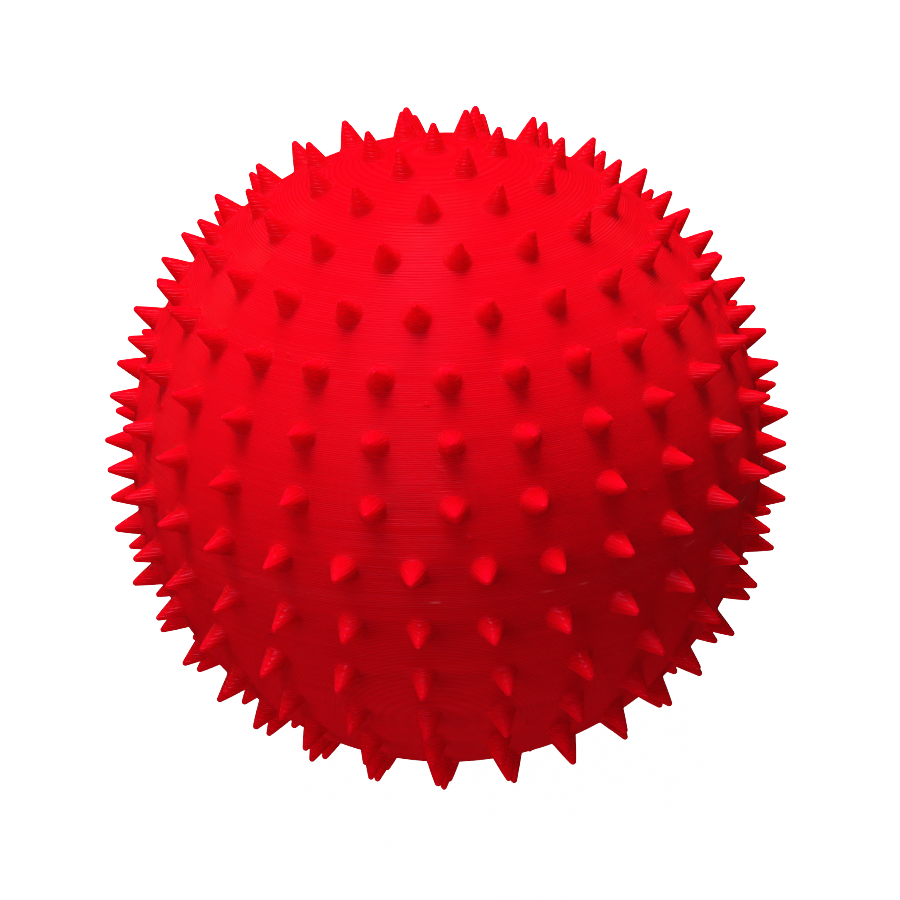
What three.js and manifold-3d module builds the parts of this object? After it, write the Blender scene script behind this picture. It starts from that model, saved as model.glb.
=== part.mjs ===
// Spiky massage ball: two printed half shells with integral spikes,
// pushed together over a loose joining ring. Millimetres, +Z up.
// The origin is the centre of the ball and +Z runs through the upper pole spike.
import * as THREE from 'three';
import { ConvexGeometry } from 'three/addons/geometries/ConvexGeometry.js';
import { mergeVertices } from 'three/addons/utils/BufferGeometryUtils.js';
import Module from 'manifold-3d';

// ---- driving dimensions (mm, degrees) ----
const BODY_R = 36.75;          // radius of the smooth ball between the spikes
const TIP_R = 40.0;            // radius over the spike tips
const WALL = 2.4;              // shell wall
const SEAM_GAP = 0.3;          // gap between the two rims

const SPIKE_FOOT_R = 1.65;     // spike radius where it leaves the ball
const SPIKE_TIP_R = 0.4;       // spike radius at its blunt tip
const SPIKE_SIDES = 6;

const RING_STEP = 180 / 17;    // latitude between neighbouring rings of spikes
// spikes in each ring of one half, from the ring next to the seam up to the pole
const RING_COUNTS = [31, 26, 26, 26, 21, 16, 11, 6, 1];

const UPPER_CLOCK = 28.4;      // meridian of the upper half, from -Y towards +X
const LOWER_CLOCK = -5.7;      // meridian of the lower half: the halves are not keyed

const REBATE_R = 35.0;         // round seat for the joining ring inside each rim
const REBATE_DEPTH = 6.0;      // depth of that seat from the rim
const RING_CLEAR = 0.35;       // radial clearance of the ring in its seat
const RING_WALL = 1.6;         // joining ring wall
const RING_END_CLEAR = 0.4;    // gap between the ring's edge and the end of its seat
const RING_CHAMFER = 0.4;      // lead-in on the ring's outer edges

const ROUND_SEGMENTS = 40;     // facets around the ball
const INNER_STEPS = 6;         // facets from seat to pole, inside

const RED = 0xd30d1c;

// ---- solids ----
const wasm = await Module();
wasm.setup();
const rad = THREE.MathUtils.degToRad;

function toSolid(geometry) {
  const g = geometry.clone();
  g.deleteAttribute('normal');
  g.deleteAttribute('uv');
  const m = mergeVertices(g, 1e-4);
  return new wasm.Manifold(new wasm.Mesh({
    numProp: 3,
    vertProperties: new Float32Array(m.attributes.position.array),
    triVerts: new Uint32Array(m.index.array),
  }));
}

function toGeometry(solid) {
  const mesh = solid.getMesh();
  const g = new THREE.BufferGeometry();
  g.setAttribute('position', new THREE.BufferAttribute(new Float32Array(mesh.vertProperties), 3));
  g.setIndex(new THREE.BufferAttribute(new Uint32Array(mesh.triVerts), 1));
  g.computeVertexNormals();
  return g;
}

// Turns an (r, z) outline round the Z axis.
function turned(outline, segments) {
  const g = new THREE.LatheGeometry(outline.map(([r, z]) => new THREE.Vector2(r, z)), segments);
  g.rotateX(Math.PI / 2);
  return g;
}

// Corners of one spike: its foot on the ball and its blunt tip.
function spikeCorners(latitude, longitude) {
  const axis = new THREE.Vector3(
    Math.cos(latitude) * Math.sin(longitude),
    -Math.cos(latitude) * Math.cos(longitude),
    Math.sin(latitude));
  const turn = new THREE.Quaternion().setFromUnitVectors(new THREE.Vector3(0, 0, 1), axis);
  const footZ = Math.sqrt(BODY_R * BODY_R - SPIKE_FOOT_R * SPIKE_FOOT_R);
  const circle = (r, z) => Array.from({ length: SPIKE_SIDES }, (_, i) => {
    const a = (2 * Math.PI * i) / SPIKE_SIDES;
    return new THREE.Vector3(r * Math.cos(a), r * Math.sin(a), z).applyQuaternion(turn);
  });
  return { foot: circle(SPIKE_FOOT_R, footZ), tip: circle(SPIKE_TIP_R, TIP_R) };
}

// One half shell, rim down, with its zero meridian towards -Y.
// The ball's skin is the convex hull of the spikes' feet and the rim. Each foot's
// own facet is left out of it and the spike's sides and tip are put there.
function halfShell() {
  const rimZ = SEAM_GAP / 2;
  const seatZ = rimZ + REBATE_DEPTH;
  const innerR = BODY_R - WALL;

  const spikes = [];
  RING_COUNTS.forEach((count, ring) => {
    for (let k = 0; k < count; k++) {
      spikes.push(spikeCorners(rad((ring + 0.5) * RING_STEP), (2 * Math.PI * k) / count));
    }
  });
  const rimR = Math.sqrt(BODY_R * BODY_R - rimZ * rimZ);
  const rim = Array.from({ length: ROUND_SEGMENTS }, (_, i) => {
    const a = (2 * Math.PI * i) / ROUND_SEGMENTS;
    return new THREE.Vector3(rimR * Math.cos(a), rimR * Math.sin(a), rimZ);
  });

  const key = (v) => v.toArray().map((x) => Math.round(x * 1000)).join(' ');
  const owner = new Map();
  spikes.forEach((s, i) => s.foot.forEach((v) => owner.set(key(v), i)));
  const skin = new ConvexGeometry([...spikes.flatMap((s) => s.foot), ...rim]);
  const at = skin.attributes.position;
  const corners = [];
  const face = (...v) => v.forEach((p) => corners.push(p.x, p.y, p.z));
  for (let i = 0; i < at.count; i += 3) {
    const v = [0, 1, 2].map((j) => new THREE.Vector3().fromBufferAttribute(at, i + j));
    const own = v.map((p) => owner.get(key(p)));
    if (own[0] !== undefined && own[0] === own[1] && own[1] === own[2]) continue;
    face(...v);
  }
  for (const { foot, tip } of spikes) {
    for (let i = 0; i < SPIKE_SIDES; i++) {
      const j = (i + 1) % SPIKE_SIDES;
      face(foot[i], foot[j], tip[j]);
      face(foot[i], tip[j], tip[i]);
      if (i > 0 && j > 0) face(tip[0], tip[i], tip[j]);
    }
  }
  const body = new THREE.BufferGeometry();
  body.setAttribute('position', new THREE.Float32BufferAttribute(corners, 3));

  const outline = [[0, rimZ - 2], [REBATE_R, rimZ - 2], [REBATE_R, seatZ]];
  const inner0 = Math.asin(seatZ / innerR);
  for (let i = 0; i <= INNER_STEPS; i++) {
    const a = inner0 + (Math.PI / 2 - inner0) * (i / INNER_STEPS);
    outline.push([i === INNER_STEPS ? 0 : innerR * Math.cos(a), innerR * Math.sin(a)]);
  }
  return toGeometry(toSolid(body).subtract(toSolid(turned(outline, ROUND_SEGMENTS))));
}

// Plain ring with chamfered outer edges, sitting across the seam.
function joiningRing() {
  const outerR = REBATE_R - RING_CLEAR;
  const innerR = outerR - RING_WALL;
  const h = SEAM_GAP / 2 + REBATE_DEPTH - RING_END_CLEAR;
  return turned([
    [innerR, -h],
    [outerR - RING_CHAMFER, -h],
    [outerR, -h + RING_CHAMFER],
    [outerR, h - RING_CHAMFER],
    [outerR - RING_CHAMFER, h],
    [innerR, h],
    [innerR, -h],
  ], ROUND_SEGMENTS);
}

function part(name, geometry, roughness) {
  const mesh = new THREE.Mesh(geometry, new THREE.MeshStandardMaterial({
    color: RED, roughness, metalness: 0,
  }));
  mesh.name = name;
  return mesh;
}

// ---- assembly ----
const ball = new THREE.Group();
const half = halfShell();

const upper = part('upper_half_shell', half, 0.42);
upper.rotation.z = rad(UPPER_CLOCK);
ball.add(upper);

// the second half is the same print turned over
const lowerSide = new THREE.Group();
lowerSide.rotation.z = rad(LOWER_CLOCK);
const lower = part('lower_half_shell', half.clone(), 0.42);
lower.rotation.y = Math.PI;
lowerSide.add(lower);
ball.add(lowerSide);

ball.add(part('joining_ring', joiningRing(), 0.5));

export default ball;
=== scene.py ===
import math
import bpy
import numpy as np
from mathutils import Matrix, Vector
from mathutils.geometry import delaunay_2d_cdt


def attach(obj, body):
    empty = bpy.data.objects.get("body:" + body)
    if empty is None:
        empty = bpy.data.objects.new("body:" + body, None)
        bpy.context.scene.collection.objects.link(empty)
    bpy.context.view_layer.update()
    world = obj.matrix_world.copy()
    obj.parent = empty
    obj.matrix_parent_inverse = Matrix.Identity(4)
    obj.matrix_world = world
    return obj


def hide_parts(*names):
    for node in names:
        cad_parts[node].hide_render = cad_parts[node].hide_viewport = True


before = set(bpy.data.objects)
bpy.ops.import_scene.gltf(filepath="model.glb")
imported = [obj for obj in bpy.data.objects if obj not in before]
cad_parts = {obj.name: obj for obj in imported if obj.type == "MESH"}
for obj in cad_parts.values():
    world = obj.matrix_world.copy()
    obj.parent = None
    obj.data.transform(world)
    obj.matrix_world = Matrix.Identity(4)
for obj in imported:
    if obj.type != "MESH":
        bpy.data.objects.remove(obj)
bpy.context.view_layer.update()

# ---------------------------------------------------------------- dimensions
# millimetres in the builders below, metres once a mesh is made
MM = 0.001
BODY_R = 36.75
TIP_R = 40.0
WALL = 2.4
RIM_Z = 0.004            # each rim stands this far off the seam plane
SEAT_R = 35.0
SEAT_Z = 6.15
RING_OUT = 34.65
RING_IN = 33.05
RING_H = 5.75
RING_STEP = 180.0 / 17.0
COUNTS = [31, 26, 26, 26, 21, 16, 11, 6, 1]
UPPER_CLOCK = 28.43
LOWER_CLOCK = -5.68
LAYER = 0.2              # print layer height

FOOT = 2.20              # radius where a spike's foot runs out into the ball
NS = 24                  # points round a spike
RIM_N = 288              # points round the rim


def spike_profile(height, tip, slope, foot_r):
    """(r, h) from the foot's edge to the apex: flared foot, straight cone, round tip."""
    half = math.atan(slope)
    rt, ht = tip * math.cos(half), height - tip + tip * math.sin(half)
    base = rt + slope * ht                      # cone radius at the ball
    rows = [(foot_r, 0.0)]
    for r_add, h in ((0.24, 0.014), (0.15, 0.045), (0.08, 0.11), (0.03, 0.23), (0.008, 0.40)):
        rows.append((base - slope * h + r_add + 0.035 * math.sin(math.pi * h / ht), h))
    for f in (0.28, 0.45, 0.62, 0.79, 0.92):
        h = ht * f
        rows.append((rt + slope * (ht - h) + 0.035 * math.sin(math.pi * f), h))
    for k in range(5):
        a = half + (math.pi / 2 - half) * k / 5.0
        rows.append((tip * math.cos(a), height - tip + tip * math.sin(a)))
    rows.append((0.0, height))
    return rows


def half_shell_mesh(name, seed):
    """One printed half, rim down, pole up, zero meridian towards -Y, in millimetres."""
    rng = np.random.RandomState(seed)
    verts, faces = [], []

    def add(p):
        verts.append((float(p[0]), float(p[1]), float(p[2])))
        return len(verts) - 1

    flat = []            # stereographic places of the points that the skin is drawn through
    flat_id = []         # their vertex numbers
    owner = []           # the patch each one edges, or -1
    edges = []

    def plan(p):
        n = p / np.linalg.norm(p)
        s = 1.0 / (1.0 + n[2])
        return (float(n[0] * s), float(n[1] * s))

    patches = []
    for ring, count in enumerate(COUNTS):
        lat = math.radians((ring + 0.5) * RING_STEP)
        for k in range(count):
            lon = 2 * math.pi * k / count
            patches.append((lat, lon, "spike"))
    # a few stray specks of plastic left on the skin by the nozzle
    axes = []
    for lat, lon, _ in patches:
        axes.append((math.cos(lat) * math.sin(lon), -math.cos(lat) * math.cos(lon), math.sin(lat)))
    axes = np.array(axes)
    tries = 0
    specks = []
    while len(specks) < 26 and tries < 4000:
        tries += 1
        z = rng.uniform(0.06, 0.97)
        lon = rng.uniform(0, 2 * math.pi)
        c = math.sqrt(1 - z * z)
        n = np.array([c * math.sin(lon), -c * math.cos(lon), z])
        gap = np.arccos(np.clip(axes @ n, -1, 1)).min() * BODY_R
        near = min([np.arccos(np.clip(s @ n, -1, 1)) * BODY_R for s in specks] + [99])
        if 3.15 < gap and near > 4.0:
            specks.append(n)
            patches.append((math.asin(z), lon, "speck"))

    for index, (lat, lon, kind) in enumerate(patches):
        a = np.array([math.cos(lat) * math.sin(lon), -math.cos(lat) * math.cos(lon), math.sin(lat)])
        e1 = np.array([math.cos(lon), math.sin(lon), 0.0])
        e2 = np.array([-math.sin(lat) * math.sin(lon), math.sin(lat) * math.cos(lon), math.cos(lat)])
        if kind == "spike":
            height = (TIP_R - BODY_R) * rng.uniform(0.98, 1.0)
            tip = rng.uniform(0.35, 0.43)
            rows = spike_profile(height, tip, rng.uniform(0.360, 0.385), FOOT)
            lean = (rng.uniform(-1, 1, 2) * 0.055)
            n_round = NS
            wob = rng.uniform(-1, 1, 3) * 0.02
        else:
            size = rng.uniform(0.16, 0.30)
            rows = [(size * 2.1, 0.0), (size * 1.35, size * 0.10), (size * 0.95, size * 0.35),
                    (size * 0.55, size * 0.58), (0.0, size * 0.68)]
            lean = np.zeros(2)
            n_round = 10
            wob = rng.uniform(-1, 1, 3) * 0.15
            height = 1.0
        rings = []
        for i, (r, h) in enumerate(rows):
            ids = []
            if i == len(rows) - 1:
                f = 1.0
                p = a * (BODY_R + h) + (lean[0] * e1 + lean[1] * e2) * f
                ids = [add(p)]
            else:
                f = (h / height) ** 2
                for j in range(n_round):
                    ang = 2 * math.pi * j / n_round
                    rr = r if i == 0 else r * (1.0 + wob[0] * math.cos(2 * ang + 3 * wob[1]) * min(1.0, i / 3.0))
                    d = math.cos(ang) * e1 + math.sin(ang) * e2
                    if i == 0:
                        p = a * math.sqrt(BODY_R ** 2 - r * r) + r * d
                    else:
                        low = math.sqrt(BODY_R ** 2 - rr * rr) - BODY_R
                        p = a * (BODY_R + h + low * max(0.0, 1 - h / 0.5)) + rr * d + (lean[0] * e1 + lean[1] * e2) * f
                    ids.append(add(p))
            rings.append(ids)
        for lower, upper in zip(rings[:-1], rings[1:]):
            for j in range(n_round):
                k = (j + 1) % n_round
                if len(upper) == 1:
                    faces.append((lower[j], lower[k], upper[0]))
                else:
                    faces.append((lower[j], lower[k], upper[k], upper[j]))
        start = len(flat)
        for v in rings[0]:
            flat.append(plan(np.array(verts[v])))
            flat_id.append(v)
            owner.append(index)
        edges += [(start + j, start + (j + 1) % n_round) for j in range(n_round)]

    # the edge of the skin near the rim
    z0 = 0.85
    rim_rows = []

    # the first layers are squeezed out here and there against the print bed
    knots = rng.uniform(0, 1, 61)
    knots[-1] = knots[0]
    squeeze = np.interp(np.arange(RIM_N) * 60.0 / RIM_N, np.arange(61), knots)
    squeeze = np.clip((squeeze - 0.62) / 0.38, 0, 1)

    def circle(r, z, out=0.0):
        row = []
        for j in range(RIM_N):
            a = 2 * math.pi * j / RIM_N
            rr = r + out * squeeze[j]
            row.append(add((rr * math.sin(a), -rr * math.cos(a), z)))
        return row

    first = circle(math.sqrt(BODY_R ** 2 - z0 * z0), z0)
    start = len(flat)
    for v in first:
        flat.append(plan(np.array(verts[v])))
        flat_id.append(v)
        owner.append(-1)
    edges += [(start + j, start + (j + 1) % RIM_N) for j in range(RIM_N)]

    # points between the spikes
    keep = np.array([[math.cos(la) * math.sin(lo), -math.cos(la) * math.cos(lo), math.sin(la)] for la, lo, _ in patches])
    reach = np.array([FOOT + 0.62 if k == "spike" else 1.15 for _, _, k in patches]) / BODY_R
    step = 1.2
    rows_n = int(BODY_R * math.pi / 2 / step)
    for i in range(rows_n):
        lat = math.pi / 2 - (i + 0.5) * step / BODY_R
        if BODY_R * math.sin(lat) < z0 + 0.75:
            continue
        n_lon = max(3, int(round(2 * math.pi * BODY_R * math.cos(lat) / 1.3)))
        for j in range(n_lon):
            lon = 2 * math.pi * (j + 0.5 * (i % 2)) / n_lon + 0.013 * i
            n = np.array([math.cos(lat) * math.sin(lon), -math.cos(lat) * math.cos(lon), math.sin(lat)])
            if (np.arccos(np.clip(keep @ n, -1, 1)) > reach).all():
                flat.append(plan(n))
                flat_id.append(add(n * BODY_R))
                owner.append(-1)

    out_v, _, out_f, orig_v, _, _ = delaunay_2d_cdt([Vector(p) for p in flat], edges, [], 0, 1e-7, True)
    back = [o[0] for o in orig_v]
    for f in out_f:
        t = [back[i] for i in f]
        own = {owner[i] for i in t}
        if len(own) == 1 and -1 not in own:
            continue
        p = [flat[i] for i in t]
        area = (p[1][0] - p[0][0]) * (p[2][1] - p[0][1]) - (p[2][0] - p[0][0]) * (p[1][1] - p[0][1])
        ids = [flat_id[i] for i in t]
        faces.append(tuple(ids if area > 0 else ids[::-1]))

    # rim, seat for the ring and hollow inside
    inner = BODY_R - WALL
    section = [(math.sqrt(BODY_R ** 2 - 0.5 ** 2), 0.5, 0.0), (BODY_R - 0.001, 0.30, 0.012), (BODY_R, 0.18, 0.045),
               (BODY_R, 0.06, 0.05), (BODY_R, RIM_Z, 0.03), (BODY_R - 0.10, RIM_Z), (BODY_R - 0.7, RIM_Z), (SEAT_R + 0.12, RIM_Z),
               (SEAT_R + 0.03, RIM_Z + 0.09), (SEAT_R, RIM_Z + 0.25), (SEAT_R, 2.0), (SEAT_R, 4.0), (SEAT_R, SEAT_Z - 0.1),
               (SEAT_R - 0.1, SEAT_Z)]
    a0 = math.asin(SEAT_Z / inner)
    section.append((inner * math.cos(a0) + 0.12, SEAT_Z))
    for k in range(18):
        a = a0 + 0.004 + (math.pi / 2 - a0 - 0.004) * k / 18.0
        section.append((inner * math.cos(a), inner * math.sin(a)))
    last = first
    for place in section:
        row = circle(*place)
        for j in range(RIM_N):
            k = (j + 1) % RIM_N
            faces.append((last[j], row[j], row[k], last[k]))
        last = row
    top = add((0, 0, inner))
    for j in range(RIM_N):
        faces.append((last[j], top, last[(j + 1) % RIM_N]))
    return name, np.array(verts), faces


def make_object(name, verts, faces, turn, sharp=38):
    v = (np.asarray(verts) @ np.asarray(turn).T) * MM
    mesh = bpy.data.meshes.new(name)
    mesh.from_pydata([tuple(p) for p in v], [], faces)
    mesh.validate(verbose=False)
    mesh.shade_smooth()
    mesh.set_sharp_from_angle(angle=math.radians(sharp))
    mesh.update()
    obj = bpy.data.objects.new(name, mesh)
    bpy.context.scene.collection.objects.link(obj)
    return obj


def rot_z(deg):
    c, s = math.cos(math.radians(deg)), math.sin(math.radians(deg))
    return np.array([[c, -s, 0], [s, c, 0], [0, 0, 1.0]])


TURN_OVER = np.array([[-1.0, 0, 0], [0, 1, 0], [0, 0, -1]])


# ---------------------------------------------------------------- print finish
def link(tree, a, b):
    tree.links.new(a, b)


def math_node(tree, op, a, b=None, c=None, clamp=False):
    n = tree.nodes.new("ShaderNodeMath")
    n.operation = op
    n.use_clamp = clamp
    for i, v in enumerate((a, b, c)):
        if v is None:
            continue
        if hasattr(v, "links"):
            link(tree, v, n.inputs[i])
        else:
            n.inputs[i].default_value = v
    return n.outputs[0]


def printed_red(name, base, dark, light, lines=1.0):
    """Satin red print: layer lines by height from the rim, uneven extrusion, small pits and colour drift, with painted
    shade in the grooves and painted highlights on the layer crests, spike tips and seam edge.
    """
    mat = bpy.data.materials.new(name)
    mat.use_nodes = True
    t = mat.node_tree
    t.nodes.clear()
    out = t.nodes.new("ShaderNodeOutputMaterial")
    bsdf = t.nodes.new("ShaderNodeBsdfPrincipled")
    link(t, bsdf.outputs[0], out.inputs[0])
    tc = t.nodes.new("ShaderNodeTexCoord")
    sep = t.nodes.new("ShaderNodeSeparateXYZ")
    link(t, tc.outputs["Object"], sep.inputs[0])
    geo = t.nodes.new("ShaderNodeNewGeometry")
    nsep = t.nodes.new("ShaderNodeSeparateXYZ")
    link(t, geo.outputs["Normal"], nsep.inputs[0])

    z = sep.outputs[2]
    side = math_node(t, "SIGN", z)
    height = math_node(t, "ABSOLUTE", z)
    layers = math_node(t, "MULTIPLY", height, 1000.0 / LAYER)
    number = math_node(t, "FLOOR", layers)
    frac = math_node(t, "FRACT", layers)
    up = math_node(t, "MULTIPLY", nsep.outputs[2], side)      # away from the print bed

    # each layer is laid a little fuller or leaner than the next
    white = t.nodes.new("ShaderNodeTexWhiteNoise")
    white.noise_dimensions = "1D"
    link(t, number, white.inputs["W"])
    # and varies along its length
    comb = t.nodes.new("ShaderNodeCombineXYZ")
    link(t, math_node(t, "MULTIPLY", sep.outputs[0], 90.0), comb.inputs[0])
    link(t, math_node(t, "MULTIPLY", sep.outputs[1], 90.0), comb.inputs[1])
    link(t, math_node(t, "MULTIPLY", number, 7.31), comb.inputs[2])
    along = t.nodes.new("ShaderNodeTexNoise")
    along.inputs["Scale"].default_value = 1.0
    along.inputs["Detail"].default_value = 2.0
    link(t, comb.outputs[0], along.inputs["Vector"])
    # groups of layers that stand out together
    band = t.nodes.new("ShaderNodeTexNoise")
    band.noise_dimensions = "1D"
    band.inputs["Scale"].default_value = 1.0
    band.inputs["Detail"].default_value = 3.0
    link(t, math_node(t, "MULTIPLY", number, 0.23), band.inputs["W"])

    # rounded bead section, a groove between layers
    tri = math_node(t, "ABSOLUTE", math_node(t, "MULTIPLY_ADD", frac, 2.0, -1.0))
    groove = math_node(t, "MULTIPLY", tri, tri)
    amount = math_node(t, "ADD", math_node(t, "MULTIPLY", white.outputs["Value"], 0.7),
                       math_node(t, "MULTIPLY", along.outputs["Fac"], 0.7))
    bead = math_node(t, "MULTIPLY", groove, math_node(t, "MULTIPLY", amount, -0.056 * MM * lines))
    shift = math_node(t, "MULTIPLY", math_node(t, "SUBTRACT", amount, 0.7), 0.026 * MM * lines)
    # stepped treads where the wall leans
    saw = math_node(t, "SUBTRACT", math_node(t, "MINIMUM", frac, math_node(t, "MULTIPLY", math_node(t, "SUBTRACT", 1.0, frac), 2.6)), 0.36)
    step = math_node(t, "MULTIPLY", saw, math_node(t, "MULTIPLY", up, LAYER * MM * 0.18 * lines))
    fine = t.nodes.new("ShaderNodeTexNoise")
    fine.inputs["Scale"].default_value = 1600.0
    fine.inputs["Detail"].default_value = 3.0
    link(t, tc.outputs["Object"], fine.inputs["Vector"])
    grain = math_node(t, "MULTIPLY", fine.outputs["Fac"], 0.004 * MM)
    wall = math_node(t, "ADD", math_node(t, "ADD", bead, shift), step)
    # the small loops of a spike settle in pairs and stand out as coarser ribs
    far = t.nodes.new("ShaderNodeVectorMath")
    far.operation = "LENGTH"
    link(t, tc.outputs["Object"], far.inputs[0])
    on_spike = t.nodes.new("ShaderNodeMapRange")
    on_spike.interpolation_type = "SMOOTHSTEP"
    on_spike.inputs["From Min"].default_value = (BODY_R + 0.2) * MM
    on_spike.inputs["From Max"].default_value = (BODY_R + 0.9) * MM
    link(t, far.outputs["Value"], on_spike.inputs["Value"])
    pair = math_node(t, "FRACT", math_node(t, "MULTIPLY", layers, 0.5))
    ptri = math_node(t, "ABSOLUTE", math_node(t, "MULTIPLY_ADD", pair, 2.0, -1.0))
    rib = math_node(t, "MULTIPLY", math_node(t, "MULTIPLY", ptri, ptri),
                    math_node(t, "MULTIPLY_ADD", along.outputs["Fac"], -0.07 * MM * lines, -0.06 * MM * lines))
    high = t.nodes.new("ShaderNodeMix")
    link(t, on_spike.outputs["Result"], high.inputs[0])
    link(t, wall, high.inputs[2])
    link(t, rib, high.inputs[3])
    total = math_node(t, "ADD", high.outputs[0], grain)
    # the gloss follows every bead
    bump = t.nodes.new("ShaderNodeBump")
    bump.inputs["Strength"].default_value = 1.0
    bump.inputs["Distance"].default_value = 1.0
    link(t, total, bump.inputs["Height"])
    link(t, bump.outputs[0], bsdf.inputs["Coat Normal"])
    # the colour under it is blurred on the ball and keeps more of the steps on the spikes
    keep = math_node(t, "MULTIPLY_ADD", on_spike.outputs["Result"], -0.04, 0.36)
    soft = t.nodes.new("ShaderNodeBump")
    soft.inputs["Strength"].default_value = 1.0
    soft.inputs["Distance"].default_value = 1.0
    link(t, math_node(t, "MULTIPLY", total, keep), soft.inputs["Height"])
    link(t, soft.outputs[0], bsdf.inputs["Normal"])

    # colour: streaks along the layers, painted shade that darkens the groove between layers, slow drift over the print
    drift = t.nodes.new("ShaderNodeTexNoise")
    drift.inputs["Scale"].default_value = 55.0
    drift.inputs["Detail"].default_value = 3.0
    link(t, tc.outputs["Object"], drift.inputs["Vector"])
    lay = t.nodes.new("ShaderNodeCombineXYZ")
    link(t, math_node(t, "MULTIPLY", sep.outputs[0], 70.0), lay.inputs[0])
    link(t, math_node(t, "MULTIPLY", sep.outputs[1], 70.0), lay.inputs[1])
    link(t, math_node(t, "MULTIPLY", number, 0.31), lay.inputs[2])
    streak = t.nodes.new("ShaderNodeTexNoise")
    streak.inputs["Scale"].default_value = 1.0
    streak.inputs["Detail"].default_value = 4.0
    streak.inputs["Roughness"].default_value = 0.65
    link(t, lay.outputs[0], streak.inputs["Vector"])
    # the groove term paints shade into the grooves; the streak, band and drift terms are the plastic's own uneven tone
    shade = math_node(t, "ADD", math_node(t, "MULTIPLY", groove, math_node(t, "MULTIPLY", amount, 0.45 * lines)),
                      math_node(t, "ADD", math_node(t, "MULTIPLY_ADD", streak.outputs["Fac"], 1.1, -0.45),
                                math_node(t, "ADD", math_node(t, "MULTIPLY", band.outputs["Fac"], 0.14),
                                          math_node(t, "MULTIPLY", drift.outputs["Fac"], 0.16))), clamp=True)
    mix = t.nodes.new("ShaderNodeMix")
    mix.data_type = "RGBA"
    link(t, shade, mix.inputs["Factor"])
    # sockets 6 and 7 are the colour pair of the node
    mix.inputs[6].default_value = (*base, 1)
    mix.inputs[7].default_value = (*dark, 1)
    # painted highlight: the crest of each layer is painted paler and pinker, in place of the glint along each bead
    peak = math_node(t, "SUBTRACT", 1.0, tri)
    # the painted highlight is weaker on the broad up-facing treads near the pole
    fade = t.nodes.new("ShaderNodeMapRange")
    fade.interpolation_type = "SMOOTHSTEP"
    fade.inputs["From Min"].default_value = 0.80
    fade.inputs["From Max"].default_value = 0.97
    fade.inputs["To Min"].default_value = 1.2 * lines
    fade.inputs["To Max"].default_value = 0.35 * lines
    link(t, up, fade.inputs["Value"])
    crest_highlight = t.nodes.new("ShaderNodeMix")
    crest_highlight.data_type = "RGBA"
    link(t, math_node(t, "MULTIPLY", math_node(t, "POWER", peak, 3.0), math_node(t, "MULTIPLY", amount, fade.outputs["Result"]), clamp=True),
         crest_highlight.inputs["Factor"])
    link(t, mix.outputs[2], crest_highlight.inputs[6])
    # colour of the painted crest highlight
    crest_highlight.inputs[7].default_value = (0.86, 0.0052, 0.0165, 1)
    # the spikes are printed solid and are coloured lighter than the thin wall, most of all towards the tip: partly the
    # solid plastic, partly painted light on the tips and painted shade at the feet
    tipward = t.nodes.new("ShaderNodeMapRange")
    tipward.interpolation_type = "SMOOTHSTEP"
    tipward.inputs["From Min"].default_value = (BODY_R + 0.7) * MM
    tipward.inputs["From Max"].default_value = (BODY_R + 2.7) * MM
    link(t, far.outputs["Value"], tipward.inputs["Value"])
    solid_and_lit_tip = t.nodes.new("ShaderNodeMix")
    solid_and_lit_tip.data_type = "RGBA"
    link(t, tipward.outputs["Result"], solid_and_lit_tip.inputs["Factor"])
    link(t, crest_highlight.outputs[2], solid_and_lit_tip.inputs[6])
    solid_and_lit_tip.inputs[7].default_value = (*light, 1)
    # painted highlight: pale dashes here and there along the seam edge of the first two layers, painted as glints
    # where that edge catches the light
    seam_glint_noise = t.nodes.new("ShaderNodeTexNoise")
    seam_glint_noise.inputs["Scale"].default_value = 150.0
    seam_glint_noise.inputs["Detail"].default_value = 2.0
    link(t, tc.outputs["Object"], seam_glint_noise.inputs["Vector"])
    dash = t.nodes.new("ShaderNodeMapRange")
    dash.interpolation_type = "SMOOTHSTEP"
    dash.inputs["From Min"].default_value = 0.60
    dash.inputs["From Max"].default_value = 0.67
    link(t, seam_glint_noise.outputs["Fac"], dash.inputs["Value"])
    edge = t.nodes.new("ShaderNodeMapRange")
    edge.interpolation_type = "SMOOTHSTEP"
    edge.inputs["From Min"].default_value = 0.20 * MM
    edge.inputs["From Max"].default_value = 0.06 * MM
    link(t, height, edge.inputs["Value"])
    outer = t.nodes.new("ShaderNodeMapRange")
    outer.interpolation_type = "SMOOTHSTEP"
    outer.inputs["From Min"].default_value = (BODY_R - 0.20) * MM
    outer.inputs["From Max"].default_value = (BODY_R - 0.02) * MM
    link(t, far.outputs["Value"], outer.inputs["Value"])
    pale = t.nodes.new("ShaderNodeMix")
    pale.data_type = "RGBA"
    link(t, math_node(t, "MULTIPLY", math_node(t, "MULTIPLY", dash.outputs["Result"], edge.outputs["Result"]), outer.outputs["Result"]),
         pale.inputs["Factor"])
    link(t, solid_and_lit_tip.outputs[2], pale.inputs[6])
    # colour of the painted seam glints
    pale.inputs[7].default_value = (0.95, 0.065, 0.085, 1)
    link(t, pale.outputs[2], bsdf.inputs["Base Color"])

    rough = math_node(t, "ADD", 0.40, math_node(t, "ADD", math_node(t, "MULTIPLY", groove, 0.12),
                                              math_node(t, "MULTIPLY", drift.outputs["Fac"], 0.16)))
    link(t, rough, bsdf.inputs["Roughness"])
    bsdf.inputs["Specular IOR Level"].default_value = 0.10
    bsdf.inputs["Specular Tint"].default_value = (1.0, 0.12, 0.80, 1.0)
    link(t, math_node(t, "MULTIPLY_ADD", on_spike.outputs["Result"], 0.47, 0.28), bsdf.inputs["Coat Weight"])
    bsdf.inputs["Coat Roughness"].default_value = 0.17
    bsdf.inputs["Coat IOR"].default_value = 1.45
    bsdf.subsurface_method = "RANDOM_WALK"
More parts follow.
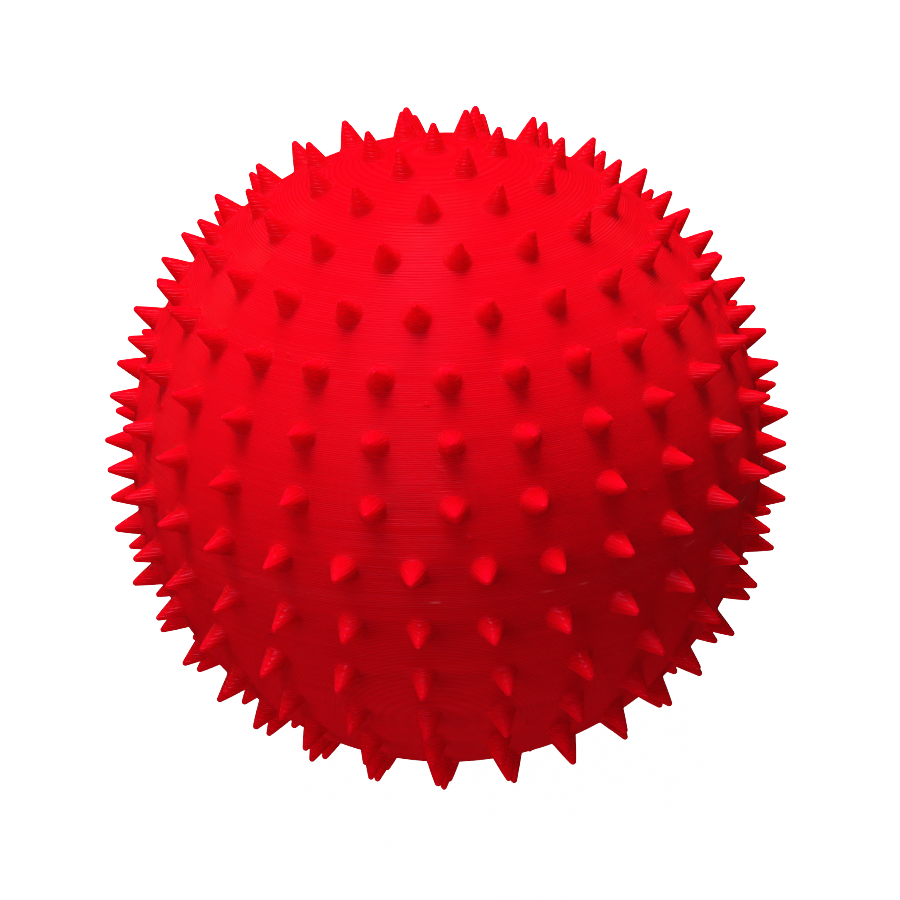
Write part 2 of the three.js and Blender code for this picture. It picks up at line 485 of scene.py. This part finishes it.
    # light spreads inside the plastic, but not across the seam
    inside = t.nodes.new("ShaderNodeMapRange")
    inside.interpolation_type = "SMOOTHSTEP"
    inside.inputs["From Min"].default_value = 0.15 * MM
    inside.inputs["From Max"].default_value = 1.2 * MM
    link(t, height, inside.inputs["Value"])
    spread = math_node(t, "MULTIPLY_ADD", on_spike.outputs["Result"], 0.20, 0.60)
    link(t, math_node(t, "MULTIPLY", inside.outputs["Result"], spread), bsdf.inputs["Subsurface Weight"])
    bsdf.inputs["Subsurface Radius"].default_value = (1.0, 0.12, 0.10)
    bsdf.inputs["Subsurface Scale"].default_value = 0.0017
    return mat


RED = (0.79, 0.0000, 0.0040)
# DEEP_RED_AND_GROOVE_SHADE is both the darker streaks of the plastic and the painted shade in the grooves
DEEP_RED_AND_GROOVE_SHADE = (0.58, 0.0000, 0.0026)
# SPIKE, reached towards the tips, is partly painted light on the spikes
SPIKE = (0.93, 0.0003, 0.0080)

# ---------------------------------------------------------------- pieces
shell_mat = printed_red("printed_red_shell", RED, DEEP_RED_AND_GROOVE_SHADE, SPIKE)
ring_mat = printed_red("printed_red_ring", (0.74, 0.0004, 0.0085), (0.50, 0.0002, 0.0050), SPIKE)

name, verts, faces = half_shell_mesh("upper_half", 11)
upper = make_object("upper_half_print", verts, faces, rot_z(UPPER_CLOCK))
upper.data.materials.append(shell_mat)
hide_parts("upper_half_shell")
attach(upper, "upper_half")

name, verts, faces = half_shell_mesh("lower_half", 23)
lower = make_object("lower_half_print", verts, faces, rot_z(LOWER_CLOCK) @ TURN_OVER)
lower.data.materials.append(shell_mat)
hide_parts("lower_half_shell")
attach(lower, "lower_half")


def ring_mesh():
    c = 0.4
    section = [(RING_IN, -RING_H + 0.15), (RING_IN + 0.15, -RING_H), (RING_OUT - c, -RING_H), (RING_OUT - 0.1, -RING_H + 0.3),
               (RING_OUT, -RING_H + 0.55)]
    section += [(RING_OUT, z) for z in (-3.5, -1.75, 0, 1.75, 3.5)]
    section += [(RING_OUT, RING_H - 0.55), (RING_OUT - 0.1, RING_H - 0.3), (RING_OUT - c, RING_H), (RING_IN + 0.15, RING_H),
                (RING_IN, RING_H - 0.15)]
    section += [(RING_IN, z) for z in (3.5, 1.75, 0, -1.75, -3.5)]
    verts, faces = [], []
    n = 240
    for r, z in section:
        for j in range(n):
            a = 2 * math.pi * j / n
            verts.append((r * math.sin(a), -r * math.cos(a), z))
    m = len(section)
    for i in range(m):
        for j in range(n):
            k = (j + 1) % n
            faces.append((i * n + j, i * n + k, ((i + 1) % m) * n + k, ((i + 1) % m) * n + j))
    return np.array(verts), faces


verts, faces = ring_mesh()
ring = make_object("joining_ring_print", verts, faces, np.eye(3))
ring.data.materials.append(ring_mat)
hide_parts("joining_ring")
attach(ring, "ring")

# ---------------------------------------------------------------- stage
def plain(name, color, rough=0.9, glow=0.0):
    mat = bpy.data.materials.new(name)
    mat.use_nodes = True
    b = mat.node_tree.nodes["Principled BSDF"]
    b.inputs["Base Color"].default_value = (*color, 1)
    b.inputs["Roughness"].default_value = rough
    b.inputs["Specular IOR Level"].default_value = 0.1
    if glow:
        b.inputs["Emission Color"].default_value = (1, 1, 1, 1)
        b.inputs["Emission Strength"].default_value = glow
    return mat


def add_plane(name, size, z):
    s = size / 2
    mesh = bpy.data.meshes.new(name)
    mesh.from_pydata([(-s, -s, z), (s, -s, z), (s, s, z), (-s, s, z)], [], [(0, 1, 2, 3)])
    obj = bpy.data.objects.new(name, mesh)
    bpy.context.scene.collection.objects.link(obj)
    return obj


floor = add_plane("floor", 6.0, -TIP_R * MM - 0.0002)
floor.data.materials.append(plain("pale_floor", (0.12, 0.12, 0.12), glow=1.82))


def add_dome(name, radius, z):
    """Open half sphere that closes the studio behind the ball."""
    verts, faces = [], []
    n, rows = 48, 12
    for i in range(rows):
        a = math.pi / 2 * i / rows
        for j in range(n):
            b = 2 * math.pi * j / n
            verts.append((radius * math.cos(a) * math.sin(b), -radius * math.cos(a) * math.cos(b), z + radius * math.sin(a)))
    verts.append((0, 0, z + radius))
    for i in range(rows - 1):
        for j in range(n):
            k = (j + 1) % n
            faces.append((i * n + j, (i + 1) * n + j, (i + 1) * n + k, i * n + k))
    for j in range(n):
        faces.append(((rows - 1) * n + j, len(verts) - 1, (rows - 1) * n + (j + 1) % n))
    mesh = bpy.data.meshes.new(name)
    mesh.from_pydata(verts, [], faces)
    obj = bpy.data.objects.new(name, mesh)
    bpy.context.scene.collection.objects.link(obj)
    return obj


backdrop = add_dome("backdrop", 2.8, -TIP_R * MM - 0.0002)
backdrop.data.materials.append(floor.data.materials[0])
for set_piece in (floor, backdrop):
    set_piece.visible_diffuse = False
    set_piece.visible_glossy = False
    set_piece.visible_transmission = False
    set_piece.visible_shadow = False

world = bpy.data.worlds.new("studio")
bpy.context.scene.world = world
world.use_nodes = True
bg = world.node_tree.nodes["Background"]
bg.inputs[0].default_value = (1, 1, 1, 1)
bg.inputs[1].default_value = 0.13
world.cycles_visibility.glossy = False


def area(name, direction, distance, size, power, diffuse=True, glossy=True):
    d = Vector(direction).normalized()
    light = bpy.data.lights.new(name, "AREA")
    light.shape = "DISK"
    light.size = size
    light.energy = power
    obj = bpy.data.objects.new(name, light)
    obj.location = d * distance
    obj.rotation_euler = d.to_track_quat("Z", "Y").to_euler()
    obj.visible_diffuse = diffuse
    obj.visible_glossy = glossy
    bpy.context.scene.collection.objects.link(obj)
    return obj


# soft light: panels overhead, strongest in the middle and to the left, and weak fills round the front and below
area("key_top", (0.0, 0.0, 1.0), 1.0, 0.36, 6.2, glossy=False)
area("key_left", (-0.34, 0.0, 0.94), 1.0, 0.44, 7.3, glossy=False)
area("key_back", (0.0, 0.34, 0.94), 1.0, 0.44, 9.6, glossy=False)
area("fill_left", (-0.87, -0.50, 0.0), 1.0, 0.44, 1.55, glossy=False)
area("fill_front_left", (-0.64, -0.64, 0.42), 1.0, 0.44, 1.7, glossy=False)
area("fill_front", (0.0, -1.0, 0.0), 1.0, 0.44, 0.8, glossy=False)
area("fill_right", (0.87, -0.50, 0.0), 1.0, 0.44, 0.70, glossy=False)
area("fill_below", (0.0, 0.0, -1.0), 1.0, 0.44, 3.2, glossy=False)
# the small bright part of the overhead box that glints along the layers
glint = area("glint", (-0.15, -0.34, 0.93), 1.0, 0.56, 2.7, diffuse=False)
glint.data.color = (1.0, 0.30, 0.70)
# reflections only, on the tips and along both limbs
area("rim_left", (-0.82, 0.57, 0.35), 1.0, 0.30, 0.13, diffuse=False)
area("rim_right", (0.82, 0.57, 0.30), 1.0, 0.30, 0.05, diffuse=False)

# ---------------------------------------------------------------- camera
ELEV, ROLL = math.radians(26.12), math.radians(-2.52)
DIST = 8.0418 * BODY_R * MM
FOCAL_PX = 315.0 * math.sqrt(8.0418 ** 2 - 1)
back = Vector((0, -math.cos(ELEV), math.sin(ELEV)))
up0 = Vector((0, math.sin(ELEV), math.cos(ELEV)))
right0 = Vector((1, 0, 0))
cam_x = math.cos(ROLL) * right0 + math.sin(ROLL) * up0
cam_y = -math.sin(ROLL) * right0 + math.cos(ROLL) * up0
cam_data = bpy.data.cameras.new("camera")
cam_data.sensor_fit = "HORIZONTAL"
cam_data.sensor_width = 36.0
cam_data.lens = FOCAL_PX / 900.0 * 36.0
cam_data.shift_x = (450.0 - 447.13) / 900.0
cam_data.shift_y = -(450.0 - 447.15) / 900.0
cam_data.clip_start = 0.01
camera = bpy.data.objects.new("camera", cam_data)
m = Matrix.Identity(4)
for i in range(3):
    m[i][0], m[i][1], m[i][2], m[i][3] = cam_x[i], cam_y[i], back[i], back[i] * DIST
camera.matrix_world = m
bpy.context.scene.collection.objects.link(camera)
bpy.context.scene.camera = camera

# a crisp pixel, so that the layers stay apart where they are two pixels wide
bpy.context.scene.cycles.filter_width = 1.0

# a camera's soft shoulder, so that the brightest red is not cut off
view = bpy.context.scene.view_settings
view.view_transform = "Standard"
view.look = "None"
view.use_curve_mapping = True
tone = view.curve_mapping
TOP = 1.9


def shoulder(x):
    return x / (1.0 + x ** 3) ** (1 / 3)


tone.white_level = (TOP, TOP, TOP)
line = tone.curves[3]
line.points[0].location = (0.0, 0.0)
line.points[1].location = (1.0, 1.0)
for x in (0.15, 0.3, 0.4, 0.5, 0.6, 0.7, 0.8, 0.9, 1.0, 1.1, 1.22, 1.36, 1.52, 1.7):
    line.points.new(x / TOP, shoulder(x) / shoulder(TOP))
for point in line.points:
    point.handle_type = "VECTOR"
tone.update()
